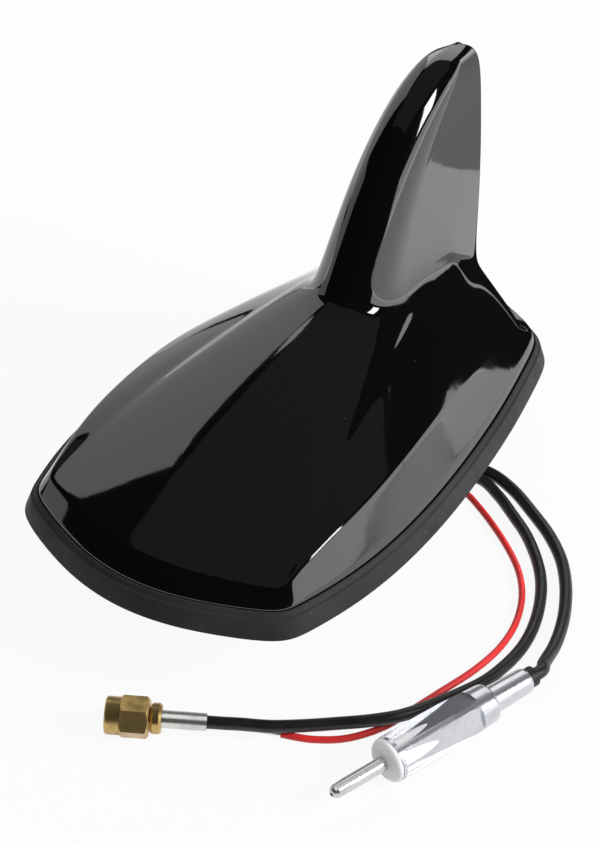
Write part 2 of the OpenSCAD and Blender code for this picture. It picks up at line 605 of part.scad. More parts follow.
fin_housing();
base_seal();
base_plate();
mount_stud();
lead_gland();
main_board();
board_screws();
housing_screws();
patch_pad();
patch_ceramic();
patch_electrode();
amp_can();
fm_chip();
choke_coils();
capacitors();
fin_board();
fin_trace();
contact_spring();
fm_lead();
fm_boot();
fm_collar();
fm_shell();
fm_insulator();
fm_pin();
gps_lead();
coax_ferrule();
coax_body();
coax_insulator();
coax_pin();
coax_nut();
power_lead();
power_lead_tip();
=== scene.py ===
import bpy
import bmesh
import math
import numpy as np
from mathutils import Matrix, Vector


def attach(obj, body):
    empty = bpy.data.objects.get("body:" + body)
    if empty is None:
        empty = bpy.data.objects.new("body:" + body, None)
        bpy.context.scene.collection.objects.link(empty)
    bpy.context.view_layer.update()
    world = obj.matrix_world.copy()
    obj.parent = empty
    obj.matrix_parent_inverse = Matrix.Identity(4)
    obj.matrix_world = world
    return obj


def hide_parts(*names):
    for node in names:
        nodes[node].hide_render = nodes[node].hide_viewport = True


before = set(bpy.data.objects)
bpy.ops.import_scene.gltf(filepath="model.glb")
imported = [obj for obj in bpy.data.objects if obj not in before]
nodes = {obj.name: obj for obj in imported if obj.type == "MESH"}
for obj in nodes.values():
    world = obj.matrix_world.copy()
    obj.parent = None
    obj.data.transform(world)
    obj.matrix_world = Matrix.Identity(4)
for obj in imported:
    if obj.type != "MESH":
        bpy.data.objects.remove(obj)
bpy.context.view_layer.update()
MM = 0.001
FLOOR_MM = -18.2    # the flat surface that the leads and plugs lie on
FLOOR = FLOOR_MM * MM

# ---------------------------------------------------------------- camera
# Fitted to the outline of the seal and the fin, with the leads lying on the floor:
# azimuth from -Y towards +X, elevation and roll in degrees, place in metres
CAM_AZ, CAM_EL, CAM_ROLL = 31.51, 37.66, 3.13
CAM_PLACE = (0.19275, -0.32202, 0.29047)
FOCAL_PX, PHOTO_WIDTH_PX, SENSOR_MM = 1988.66, 600, 36

az, el, roll = math.radians(CAM_AZ), math.radians(CAM_EL), math.radians(CAM_ROLL)
back = Vector((math.sin(az) * math.cos(el), -math.cos(az) * math.cos(el), math.sin(el)))
level_right = Vector((math.cos(az), math.sin(az), 0))
level_up = back.cross(level_right)
right = level_right * math.cos(roll) + level_up * math.sin(roll)
up = level_up * math.cos(roll) - level_right * math.sin(roll)
cam_data = bpy.data.cameras.new("camera")
cam_data.sensor_fit = "HORIZONTAL"
cam_data.sensor_width = SENSOR_MM
cam_data.lens = SENSOR_MM * FOCAL_PX / PHOTO_WIDTH_PX
cam_data.clip_start = 0.01
cam_data.clip_end = 30
cam = bpy.data.objects.new("camera", cam_data)
bpy.context.scene.collection.objects.link(cam)
m = Matrix.Identity(4)
for i in range(3):
    m[i][0], m[i][1], m[i][2], m[i][3] = right[i], up[i], back[i], CAM_PLACE[i]
cam.matrix_world = m
bpy.context.scene.camera = cam


# ---------------------------------------------------------------- helpers
def new_mesh(name, verts, faces, smooth=True):
    me = bpy.data.meshes.new(name)
    me.from_pydata([tuple(v) for v in verts], [], [tuple(f) for f in faces])
    me.validate()
    me.update()
    if smooth:
        me.polygons.foreach_set("use_smooth", [True] * len(me.polygons))
    ob = bpy.data.objects.new(name, me)
    bpy.context.scene.collection.objects.link(ob)
    return ob


def sharp(ob, degrees):
    """Outward normals, and a sharp edge wherever two faces bend by more than this."""
    bm = bmesh.new()
    bm.from_mesh(ob.data)
    bmesh.ops.recalc_face_normals(bm, faces=bm.faces)
    for e in bm.edges:
        e.smooth = not (len(e.link_faces) == 2 and e.calc_face_angle(0) > math.radians(degrees))
    bm.to_mesh(ob.data)
    bm.free()


def circle(r, z, steps):
    """Ring of points about z, where r is one radius or one for each point."""
    a = np.arange(steps) * 2 * math.pi / steps
    return np.stack([r * np.cos(a), r * np.sin(a), np.full(steps, z)], 1)


def rings_mesh(rings, wrap=False):
    """Quads through a stack of closed rings (each n x 3)."""
    n, k = len(rings[0]), len(rings)
    verts = np.concatenate(rings)
    faces = []
    for a in range(k if wrap else k - 1):
        b = (a + 1) % k
        for i in range(n):
            j = (i + 1) % n
            faces.append((a * n + i, a * n + j, b * n + j, b * n + i))
    return verts, faces


def capped_mesh(rings):
    """The same, closed by one face over the first ring and one over the last."""
    verts, faces = rings_mesh(rings)
    n = len(rings[0])
    last = (len(rings) - 1) * n
    faces.append(tuple(range(n))[::-1])
    faces.append(tuple(last + i for i in range(n)))
    return verts, faces


def held(items, i):
    """Item i, or the first or last one where i is past the end."""
    return items[max(0, min(len(items) - 1, i))]


# ---------------------------------------------------------------- leads
COS45 = 0.7071
FM_D, GPS_D, RED_D = 3.0, 2.8, 1.6    # diameters, mm
STEPS_PER_SPAN, PATH_STEP = 8, 4
fz, gz, rz = FLOOR_MM + FM_D / 2, FLOOR_MM + GPS_D / 2, FLOOR_MM + RED_D / 2
# Rear end of each plug in mm, and where it points, in degrees from +X towards +Y
FM_AT, FM_DIR = (77.1, -31.6, -13.2), -107.9
CO_AT, CO_DIR = (27.5, -83.0, -14.2), -149.8
fmd = (math.cos(math.radians(FM_DIR)), math.sin(math.radians(FM_DIR)), 0)
cod = (math.cos(math.radians(CO_DIR)), math.sin(math.radians(CO_DIR)), 0)


def sl(d, s, z):
    """Point at height z, d mm out from the stud's axis along its slot, which looks between +X
    and +Y, and s mm to the left of it as seen from above."""
    return ((d - s) * COS45, (d + s) * COS45, z)


def along(p, d, s):
    return tuple(p[i] + d[i] * s for i in range(3))


# Each lead in mm, from under the main board, down the stud, out of the slot and to its plug
GPS = [sl(0.3, -0.75, 8.5), sl(0.3, -0.75, 3), sl(0.3, -0.75, -4), sl(1.4, -0.75, -9.4),
       sl(4.6, -0.75, -13), sl(9.6, -0.8, gz + 1.2), sl(15.6, -0.6, gz + 0.2), (19, 17.2, gz),
       (26, 22.2, gz), (33, 24.4, gz), (39.5, 21.6, gz), (46, 17.2, gz), (52.4, 12.4, gz),
       (58.4, 6.2, gz), (62.6, 0.4, gz), (65.7, -5.8, gz), (68, -12.4, gz), (69.4, -19.4, gz),
       (69.5, -26.6, gz), (68.2, -35, gz), (65.6, -42, gz + 0.1), (62.4, -49.9, gz + 0.8),
       (59.1, -57, gz + 1.8), (54.4, -62.2, gz + 1.8), (49, -66.6, gz + 1.4),
       (43.6, -71.4, gz + 1.5), (38.6, -75.7, gz + 1.9), (33.4, -79.3, gz + 2.45),
       along(CO_AT, cod, -3), along(CO_AT, cod, 5)]
FML = [sl(0.3, 2.3, 8.5), sl(0.3, 2.3, 3), sl(0.3, 2.3, -4), sl(1.4, 2.3, -9.4),
       sl(4.6, 2.3, -13), sl(9.6, 2.4, fz + 1.2), sl(15.6, 2.6, fz + 0.2), (16.6, 19.8, fz),
       (24.6, 25.6, fz), (33.4, 27.8, fz), (41.6, 25.4, fz), (49.6, 20.6, fz), (56.8, 15.6, fz),
       (63.2, 9.4, fz), (68.1, 2.2, fz), (71.8, -5.4, fz), (74.1, -12, fz + 0.1),
       (75.7, -18.6, fz + 0.8), (76.8, -25.4, fz + 2.3), along(FM_AT, fmd, -2.5),
       along(FM_AT, fmd, 3.2)]
RED = [sl(0.3, -3.1, 8.5), sl(0.3, -3.1, 3), sl(0.3, -3.1, -4), sl(1.4, -3.1, -9.8),
       sl(4.6, -3.1, -13.6), sl(9.6, -3.2, rz + 1.2), sl(15.6, -3.4, rz + 0.2), (19.8, 13.8, rz),
       (25.6, 17.6, rz), (31.8, 18.4, rz), (38, 15.4, rz), (45, 10.8, rz), (51.2, 6, rz),
       (56.4, 1, rz), (60.4, -4.6, rz), (63.2, -10.8, rz), (64.9, -17.6, rz), (65.3, -25.2, rz),
       (64.1, -34, rz), (61.6, -43.4, rz), (59.4, -51.4, rz), (56.9, -59.8, rz),
       (52.4, -67, rz), (46.6, -71.6, rz), (40.4, -74.2, rz)]


def catmull(p, per):
    """Smooth curve through the points p, with this many steps between two of them."""
    p = np.array(p, float)
    out = []
    for k in range(len(p) - 1):
        a, b, c, d = (held(p, k + i) for i in (-1, 0, 1, 2))
        for j in range(per):
            t = j / per
            out.append(0.5 * (2 * b + (c - a) * t + (2 * a - 5 * b + 4 * c - d) * t * t
                              + (3 * b - a - 3 * c + d) * t ** 3))
    out.append(p[-1])
    return np.array(out)


def tube_mesh(q, d, steps=20):
    """Round tube through the points q, in metres. Its frame is carried along, so that the
    tube doesn't twist."""
    t = np.gradient(q, axis=0)
    t /= np.linalg.norm(t, axis=1, keepdims=True)
    u = np.cross(t[0], (0, 1, 0))
    a = np.arange(steps) * 2 * math.pi / steps
    rings = []
    for p, w in zip(q, t):
        u = u - w * np.dot(u, w)
        u /= np.linalg.norm(u)
        v = np.cross(w, u)
        rings.append(p + d / 2 * (np.outer(np.cos(a), u) + np.outer(np.sin(a), v)))
    return capped_mesh(rings)


def cord_piece(name, pts, d, node):
    """Flexible lead of d mm through pts, which takes the place of a CAD node."""
    q = catmull(pts, STEPS_PER_SPAN) * MM
    v, f = tube_mesh(q, d * MM)
    ob = new_mesh(name, v, f)
    sharp(ob, degrees=60)
    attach(ob, "aerial")
    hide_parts(node)
    length = float(np.linalg.norm(np.diff(q, axis=0), axis=1).sum())
    return ob, length


# ---------------------------------------------------------------- housing surface
# Half outline of the seal at the roof from the nose round the +X side to the tail, mm.
# The spline inside these points is DRAWN_W wide, and is brought to BODY_W.
OUT = np.array([(0, -78.6), (12.7, -76.8), (24, -72.5), (32.4, -68.4), (36.2, -65), (38, -60),
                (41.3, -48), (43.4, -32), (43.4, -12), (41.6, 8), (39.2, 26), (36, 42),
                (33.6, 53), (31.4, 57.2), (27.8, 60.8), (19.8, 65.2), (9, 70.2), (0, 72.4)], float)
BODY_W, DRAWN_W = 86.6, 86.64
OUT[:, 0] *= BODY_W / DRAWN_W
NH = len(OUT)
IDX = np.arange(NH)
SEAL_H, SEAL_IN = 5.8, 3.2    # height of the seal, and its reach in from the outline to the rim
WALL = 2.2                    # of the housing
LIP_T, LIP_W = 1.6, 12.0      # the seal's inward lip
STEPS_AROUND, STEPS_UP = 8, 6


def closed(half):
    """Whole ring from its +X half, mirrored to -X."""
    half = np.asarray(half, float)
    back_half = half[1:-1][::-1].copy()
    back_half[:, 0] *= -1
    return np.vstack([half, back_half])


def bw(t):
    """Weights of the four points of a uniform cubic B-spline."""
    return np.array([(1 - t) ** 3, 3 * t ** 3 - 6 * t ** 2 + 4,
                     -3 * t ** 3 + 3 * t ** 2 + 3 * t + 1, t ** 3]) / 6


def around(half, per):
    """Closed spline ring from half a ring of control points."""
    c = closed(half)
    n = len(c)
    out = []
    for i in range(n):
        for j in range(per):
            w = bw(j / per)
            out.append(sum(w[k] * c[(i - 1 + k) % n] for k in range(4)))
    return np.array(out)


def through(rings, per):
    """Spline from ring to ring; a ring that is given twice makes a tighter bend."""
    out = []
    for i in range(len(rings) + 1):
        for j in range(per):
            w = bw(j / per)
            out.append(w[0] * held(rings, i - 2) + w[1] * held(rings, i - 1)
                       + w[2] * held(rings, i) + w[3] * held(rings, i + 1))
    out.append(rings[-1])
    return out


def inset(half, d):
    """Half outline moved inwards by d, one value or one for each point."""
    c = closed(np.asarray(half, float)[:, :2])
    t = np.roll(c, -1, 0) - np.roll(c, 1, 0)
    n = np.stack([t[:, 1], -t[:, 0]], 1)
    n /= np.linalg.norm(n, axis=1, keepdims=True)
    return np.asarray(half, float)[:, :2] - n[:NH] * np.broadcast_to(d, (NH,)).reshape(-1, 1)


def prof(p):
    """A value for each point of the half outline, from (point number, value) pairs."""
    return np.interp(IDX, [q[0] for q in p], [q[1] for q in p])


def lift(h, z):
    return np.column_stack([np.asarray(h)[:, :2], np.broadcast_to(z, (NH,))])


def fin_sec(yle, c, b, yte, bt, e=1.5):
    """Half section of the fin: front edge at yle, half width b from c mm behind it, and bt
    at the rear face yte, whose corner is rounded over e."""
    p = [(0, yle), (0.36 * b, yle + 0.01 * c), (0.72 * b, yle + 0.2 * c),
         (0.94 * b, yle + 0.55 * c), (b, yle + c)]
    first, last = len(p), NH - 4    # points of the straight side
    y_front, y_rear = yle + c, yte - e
    for i in range(first, last):
        s = (i - first + 1) / (last - first)
        p.append((b + (bt - b) * s, y_front + (y_rear - y_front) * s))
    p += [(bt * 0.98, yte - 0.35 * e), (bt * 0.7, yte), (bt * 0.35, yte), (0, yte)]
    return np.array(p, float)


sill_h = prof([(0, 0.5), (3, 0.5), (4, 0.6), (8, 2.2), (12, 2.4), (17, 1.5)])
sill_i = prof([(0, 0.3), (4, 0.3), (8, 0.9), (12, 0.9), (17, 0.5)])
edge_i = prof([(0, 9), (3, 6.5), (4, 6), (5, 6.6), (6, 8), (8, 9.8), (9, 10.4), (10, 10.7),
               (12, 8.1), (13, 6.8), (14, 6.2), (15, 6.2), (17, 6)])
edge_z = prof([(0, 10), (3, 9.6), (4, 9.9), (5, 11.8), (6, 15.2), (8, 18.2), (9, 16.5),
               (10, 14.9), (12, 11), (13, 9.2), (14, 8.2), (15, 7.9), (17, 7.9)])
foot_o = prof([(0, 3.4), (4, 4), (12, 3.6), (14, 2.2), (17, 1.4)])
foot_z = prof([(0, 33.4), (4, 29.6), (7, 27.4), (10, 23.4), (12, 17.4), (13, 14.4),
               (14, 11.6), (15, 10.4), (17, 10.2)])
rim = inset(OUT, SEAL_IN)
sill = inset(OUT, sill_i + SEAL_IN)
edge = inset(OUT, edge_i)
foot = inset(fin_sec(4.4, 11, 9.8, 65.9, 5.2, 2), -foot_o)
# Fin sections upwards: yle, c, b, yte and bt as in fin_sec, height at the front and the rear
FIN = [(9.4, 10, 8.5, 65.8, 4.3, 47, 33), (15.4, 9.4, 7.7, 64.2, 4, 57.5, 48),
       (22.6, 9.4, 6.9, 62.4, 3.7, 67, 60), (31.6, 9.2, 6.1, 61, 3.5, 74.8, 68),
       (40.5, 6.4, 4.6, 59.6, 3, 78.6, 74.2), (45.6, 3, 2.6, 57.2, 2, 79.5, 77.4)]
TAIL_W_MIN = 0.8


def fin_level(f, w=0.0):
    """Section f of the fin, or the hollow inside a wall w."""
    return lift(fin_sec(f[0] + w, f[1] - w / 2, f[2] - w, f[3] - w, max(TAIL_W_MIN, f[4] - w)),
                f[5] + (f[6] - f[5]) * IDX / (NH - 1))


def mixed(s, g):
    """Ring between the edge and the fin's foot, at part s of the way in and g of the way up."""
    return lift(edge * (1 - s) + foot * s, edge_z * (1 - g) + (foot_z - 1) * g)


outer = [lift(rim, SEAL_H - 1.2), lift(rim, SEAL_H + 0.1),
         lift(sill, sill_h + SEAL_H), lift(sill, sill_h + SEAL_H),
         lift(edge, edge_z), lift(edge, edge_z),
         mixed(0.22, 0.34), mixed(0.46, 0.62), mixed(0.72, 0.85), lift(foot, foot_z - 0.6),
         lift(inset(fin_sec(4.4, 11, 9.6, 66, 5), -0.9), foot_z + 1.2),
         lift(fin_sec(5.8, 10.6, 9.2, 66.4, 4.7), foot_z + 6)]
outer += [fin_level(f) for f in FIN]
outer.append(lift(fin_sec(49.8, 0.8, 0.6, 53.6, 0.5, 0.3), prof([(0, 79.4), (17, 78.9)])))
EDGE_WALL, FOOT_DROP = WALL * 0.8, 2.4
edge_in = inset(OUT, edge_i + EDGE_WALL)
inner = [lift(inset(OUT, SEAL_IN + WALL), LIP_T), lift(inset(OUT, SEAL_IN + WALL), SEAL_H + 0.5),
         lift(edge_in, edge_z - EDGE_WALL)]
for s, g in ((0.3, 0.42), (0.66, 0.78)):
    inner.append(lift(edge_in * (1 - s) + foot * s,
                      (edge_z - EDGE_WALL) * (1 - g) + (foot_z - FOOT_DROP - WALL) * g))
inner += [lift(fin_sec(4.8 + WALL, 10, 8.7 - WALL, 65.4 - WALL, 4.4 - WALL), foot_z - FOOT_DROP),
          lift(fin_sec(6.8 + WALL, 9.6, 8.4 - WALL, 65.6 - WALL, 4.2 - WALL), foot_z + 5)]
inner += [fin_level(f, WALL + 0.3) for f in FIN[:3]]
inner.append(lift(fin_sec(34, 8, 3, 57.5, 1.2), prof([(0, 73), (17, 66)])))

out_rings = through([around(h, STEPS_AROUND) for h in outer], STEPS_UP)
in_rings = [around(h, STEPS_AROUND) for h in inner]
bottom = out_rings[0].copy()
bottom[:, 2] = LIP_T
stack = in_rings[::-1] + [bottom] + out_rings
V, F = rings_mesh(stack)
n_ring = len(out_rings[0])
# A fan about a middle point closes the top of the hollow and the tip of the fin
for start in (0, (len(stack) - 1) * n_ring):
    c = len(V)
    V = np.vstack([V, V[start:start + n_ring].mean(0)])
    for i in range(n_ring):
        j = (i + 1) % n_ring
        F.append((start + i, c, start + j) if start == 0 else (start + i, start + j, c))
housing = new_mesh("fin_cover", V * MM, F)
sharp(housing, degrees=50)
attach(housing, "aerial")
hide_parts("fin_housing")


def seal_ring(i, z):
    return around(lift(inset(OUT, i), z), STEPS_AROUND)


# Section of the seal as (inset, height): the foot with its grooves from the lip outwards, up
# the outside with its step line, over the top to the rim, and back along the lip
GROOVES, GROOVE_AT, GROOVE_STEP, GROOVE_H = 3, 11.2, 2.6, 0.75
SP = [(LIP_W, 0)]
for k in range(GROOVES):
    a = GROOVE_AT - k * GROOVE_STEP
    SP += [(a, 0.0), (a - 0.35, GROOVE_H), (a - 0.9, GROOVE_H), (a - 1.25, 0.0)]
SP += [(0.5, 0.0), (0.1, 0.12), (0.0, 0.4), (0.05, 0.7), (1.42, 4.35), (1.5, 4.62),
       (1.72, 4.72), (1.98, 4.74), (2.1, 4.86), (2.5, 5.5), (2.75, 5.76), (2.95, 5.8),
       (SEAL_IN - 0.1, 5.72), (SEAL_IN - 0.1, LIP_T), (LIP_W, LIP_T)]
V, F = rings_mesh([seal_ring(i, z) for i, z in SP], wrap=True)
seal = new_mesh("rubber_skirt", V * MM, F)
sharp(seal, degrees=38)
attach(seal, "aerial")
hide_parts("base_seal")

# ---------------------------------------------------------------- threaded stud
CREST_R, ROOT_R, PITCH, THREAD_Z = 7.0, 6.2, 1.5, (-16, -0.6)
ROOT_FLAT, FLANK = 0.12, 0.76    # parts of half a pitch, from the root outwards
LEAD_IN, LEAD_IN_START, RUN_OUT = 0.9, 0.02, 1.2
STUD_STEPS, ROWS_PER_PITCH = 72, 8
BORE_R, BORE_Z, BORE_STEPS = 4.6, (-18, 8), 64
SLOT_AT, SLOT_SIZE, SLOT_TURN = (0.010, 0, -0.0125), (0.020, 0.0084, 0.009), 45


def thread_rings():
    """Rings of the threaded length: a V thread with flats, that grows out of the root at the
    stud's lower end and runs out under the collar."""
    z0, z1 = THREAD_Z
    rows = int((z1 - z0) / PITCH * ROWS_PER_PITCH)
    turn = np.arange(STUD_STEPS) / STUD_STEPS
    rings = []
    for k in range(rows + 1):
        z = z0 + (z1 - z0) * k / rows
        tri = np.abs((z / PITCH - turn) % 1.0 * 2 - 1)
        r = ROOT_R + (CREST_R - ROOT_R) * np.clip((tri - ROOT_FLAT) / FLANK, 0, 1)
        r = np.minimum(r, ROOT_R + (z - z0) * LEAD_IN + LEAD_IN_START)
        if z > z1 - RUN_OUT:
            r = np.minimum(r, ROOT_R)
        rings.append(circle(r, z, STUD_STEPS))
    rings[-1] = circle(ROOT_R, z1, STUD_STEPS)
    return rings


def cut(ob, tool):
    md = ob.modifiers.new("cut", "BOOLEAN")
    md.operation = "DIFFERENCE"
    md.solver = "EXACT"
    md.object = tool
    bpy.context.view_layer.objects.active = ob
    bpy.ops.object.modifier_apply(modifier=md.name)
    bpy.data.objects.remove(tool)


# Plain collar at the roof face and shank up through the plate, as (radius, height)
STUD_TOP = [(ROOT_R, -0.55), (CREST_R, -0.5), (CREST_R, 0.0), (7.3, 0.0), (7.3, 1.9),
            (6.0, 1.9), (6.0, 5.0), (5.9, 5.0)]
V, F = capped_mesh(thread_rings() + [circle(r, z, STUD_STEPS) for r, z in STUD_TOP])
stud = new_mesh("threaded_stud", V * MM, F)
V, F = capped_mesh([circle(BORE_R, z, BORE_STEPS) for z in BORE_Z])
bore = new_mesh("cut_bore", V * MM, F)
bpy.ops.mesh.primitive_cube_add(size=1, location=(0, 0, 0))
box = bpy.context.object
box.data.transform(Matrix.Translation(SLOT_AT) @ Matrix.Diagonal((*SLOT_SIZE, 1)))
box.data.transform(Matrix.Rotation(math.radians(SLOT_TURN), 4, "Z"))
cut(stud, bore)
cut(stud, box)
sharp(stud, degrees=32)
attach(stud, "aerial")
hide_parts("mount_stud")


fm_cord, fm_len = cord_piece("fm_cable", FML, FM_D, "fm_lead")
gps_cord, gps_len = cord_piece("positioning_cable", GPS, GPS_D, "gps_lead")
red_cord, red_len = cord_piece("red_wire", RED, RED_D, "power_lead")

# ---------------------------------------------------------------- materials
MIX_A, MIX_B, MIX_RESULT = 6, 7, 2    # colour sockets of the Mix node


class Mat:
    """A Principled material, with helpers that add nodes to it and return their output."""

    def __init__(self, name, color, rough, metal=0.0):
        self.mat = bpy.data.materials.new(name)
        self.mat.use_nodes = True
        self.nodes = self.mat.node_tree.nodes
        self.links = self.mat.node_tree.links
        self.bsdf = self.nodes["Principled BSDF"]
        self.bsdf.inputs["Base Color"].default_value = (*color, 1)
        self.bsdf.inputs["Roughness"].default_value = rough
        self.bsdf.inputs["Metallic"].default_value = metal
        self.coords = self.nodes.new("ShaderNodeTexCoord").outputs["Object"]

    def put(self, node, inputs):
        """Sets the numbers and colours, and links the sockets."""
        for name, v in inputs.items():
            if isinstance(v, bpy.types.NodeSocket):
                self.links.new(v, node.inputs[name])
            else:
                node.inputs[name].default_value = v
        return node

    def set(self, name, v):
        self.put(self.bsdf, {name: v})

    def noise(self, scale, detail=3.0, rough=0.55, vec=None):
        return self.put(self.nodes.new("ShaderNodeTexNoise"), {
            "Scale": scale, "Detail": detail, "Roughness": rough,
            "Vector": vec or self.coords}).outputs["Fac"]

    def dust(self, scale, size, patches, low, high):
        """Scattered specks, only where a broad noise is high."""
        cells = self.put(self.nodes.new("ShaderNodeTexVoronoi"),
                         {"Scale": scale, "Vector": self.coords})
        return self.math("MULTIPLY", self.range(cells.outputs["Distance"], 0.0, size, 1.0, 0.0),
                         self.range(self.noise(patches, 2), low, high, 0.0, 1.0))

    def stretch(self, scale, rot=(0, 0, 0), vec=None):
        return self.put(self.nodes.new("ShaderNodeMapping"), {
            "Scale": scale, "Rotation": rot, "Vector": vec or self.coords}).outputs["Vector"]

    def range(self, v, from_min, from_max, to_min, to_max):
        return self.put(self.nodes.new("ShaderNodeMapRange"), {
            "Value": v, "From Min": from_min, "From Max": from_max,
            "To Min": to_min, "To Max": to_max}).outputs["Result"]

    def math(self, op, a, b):
        t = self.nodes.new("ShaderNodeMath")
        t.operation = op
        return self.put(t, {0: a, 1: b}).outputs[0]

    def mix(self, factor, a, b):
        t = self.nodes.new("ShaderNodeMix")
        t.data_type = "RGBA"
        return self.put(t, {"Factor": factor, MIX_A: a, MIX_B: b}).outputs[MIX_RESULT]

    def ramp(self, v, stops):
        t = self.nodes.new("ShaderNodeValToRGB")
        e = t.color_ramp.elements
        while len(e) < len(stops):
            e.new(0.5)
        for k, (p, c) in enumerate(stops):
            e[k].position = p
            e[k].color = (*c, 1)
        return self.put(t, {"Fac": v}).outputs["Color"]

    def bump(self, height, strength, dist, normal=None):
        t = self.put(self.nodes.new("ShaderNodeBump"),
                     {"Height": height, "Strength": strength, "Distance": dist})
        if normal:
            self.links.new(normal, t.inputs["Normal"])
        return t.outputs["Normal"]


def shade(col, f):
    return tuple(min(1, c * f) for c in col)


def gloss_black():
    k = Mat("gloss_black", (0.002, 0.002, 0.0024), 0.05)
    dust = k.dust(260, 0.10, 90, 0.58, 0.66)
    along_y = k.stretch((1.0, 0.04, 0.3), (0.2, 0.1, 0.5))
    hair = k.range(k.noise(500, 2, 0.5, along_y), 0.66, 0.72, 0, 1)
    rough = k.range(k.noise(60, 2), 0.3, 0.7, 0.035, 0.075)
    rough = k.math("ADD", rough, k.math("MULTIPLY", dust, 0.25))
    k.set("Roughness", k.math("ADD", rough, k.math("MULTIPLY", hair, 0.05)))
    k.set("Base Color", k.ramp(dust, [(0.0, (0.0018, 0.0018, 0.0022)),
                                      (1.0, (0.035, 0.035, 0.035))]))
    fine = k.bump(k.noise(900, 4, 0.6), 0.02, 0.0001)
    k.set("Normal", k.bump(k.noise(160, 2, 0.4), 0.05, 0.0004, fine))
    k.set("Specular IOR Level", 1.0)
    k.set("IOR", 1.6)
    return k.mat


def rubber(name, col, rough=0.55, specks=True, bump=0.35, spec=0.5):
    k = Mat(name, col, rough)
    k.set("Specular IOR Level", spec)
    base = k.ramp(k.noise(70, 3), [(0.3, shade(col, 0.8)), (0.7, shade(col, 1.25))])
    if specks:
        base = k.mix(k.dust(420, 0.13, 140, 0.5, 0.62), base, (0.16, 0.16, 0.16, 1))
    k.set("Base Color", base)
    k.set("Roughness", k.range(k.noise(400, 3), 0.3, 0.7, rough - 0.08, rough + 0.1))
    k.set("Normal", k.bump(k.noise(2600, 4, 0.65), bump, 0.0001))
    return k.mat


def metal(name, col, rough, axis_deg=None, lines=0.1, tarnish=None, wear=0.06, dull=0.72):
    """Turned or drawn metal; fine lines run around the plug's axis where one is given."""
    k = Mat(name, col, rough, 0.9)
    if axis_deg is not None:
        turned_to_x = k.stretch((1, 1, 1), (0, 0, -math.radians(axis_deg)))
        turned = k.noise(1.0, 2, 0.5, k.stretch((9000, 60, 60), vec=turned_to_x))
    else:
        turned = k.noise(1500, 4, 0.6)
    blot = k.noise(260, 4, 0.6)
    k.set("Base Color", k.ramp(blot, [(0.25, shade(tarnish or col, dull)), (0.55, col),
                                      (1.0, shade(col, 1.08))]))
    worn = k.range(blot, 0.3, 0.75, rough + wear, max(0.03, rough - wear))
    k.set("Roughness", k.math("ADD", worn, k.math("MULTIPLY", turned, 0.05)))
    k.set("Normal", k.bump(turned, lines, 0.00002))
    return k.mat


def plastic(name, col, rough=0.4, bump=0.1):
    k = Mat(name, col, rough)
    k.set("Base Color", k.ramp(k.noise(120, 3), [(0.3, shade(col, 0.9)), (0.7, shade(col, 1.06))]))
    k.set("Roughness", k.range(k.noise(700, 3), 0.3, 0.7, rough - 0.06, rough + 0.08))
    k.set("Normal", k.bump(k.noise(1800, 3), bump, 0.00005))
    return k.mat


def cast(name, col):
    k = Mat(name, col, 0.45, 0.9)
    k.set("Base Color", k.ramp(k.noise(90, 4), [(0.3, shade(col, 0.75)), (0.7, col)]))
    k.set("Roughness", k.range(k.noise(300, 4), 0.3, 0.7, 0.36, 0.58))
    k.set("Normal", k.bump(k.noise(1100, 4, 0.7), 0.5, 0.00012))
    return k.mat


M_BLACK = gloss_black()
M_SEAL = rubber("seal_rubber", (0.038, 0.038, 0.039), 0.5, spec=0.08)
M_JACKET = rubber("jacket", (0.010, 0.010, 0.011), 0.36, specks=False, bump=0.12)
M_RED = rubber("red_jacket", (0.80, 0.030, 0.030), 0.38, specks=False, bump=0.12)
M_BOOT = rubber("boot_rubber", (0.012, 0.012, 0.013), 0.5, specks=False)
M_CHROME = metal("plug_nickel", (0.66, 0.67, 0.715), 0.19, FM_DIR, 0.012, dull=0.86, wear=0.03)
M_PINM = metal("pin_nickel", (0.66, 0.66, 0.68), 0.24, FM_DIR, 0.008, dull=0.85, wear=0.03)
M_BRASS = metal("plug_gold", (0.55, 0.38, 0.15), 0.30, CO_DIR, 0.08, (0.42, 0.28, 0.10), 0.1)
M_FERR = metal("ferrule_tin", (0.70, 0.70, 0.68), 0.24, CO_DIR + 90, 0.06, dull=0.8)
M_ZINC = metal("zinc", (0.66, 0.66, 0.64), 0.3, None, 0.2)
M_CAST = cast("cast_plate", (0.52, 0.53, 0.54))
M_WHITE = plastic("plug_white", (0.90, 0.90, 0.92), 0.42)
M_BOARD = plastic("solder_mask", (0.015, 0.11, 0.045), 0.3)
M_COPPER = metal("copper", (0.72, 0.36, 0.2), 0.28, None, 0.2)
M_GOLD = metal("contact_gold", (0.8, 0.58, 0.22), 0.2, None, 0.2)
M_CER = plastic("ceramic", (0.55, 0.48, 0.4), 0.6, 0.3)
M_FOAM = plastic("foam", (0.7, 0.7, 0.68), 0.85, 0.9)
M_CHIP = plastic("chip", (0.015, 0.015, 0.016), 0.5, 0.4)
M_CAP = plastic("capacitor", (0.28, 0.17, 0.09), 0.45, 0.2)


def paint(ob, mat):
    ob.data.materials.clear()
    ob.data.materials.append(mat)


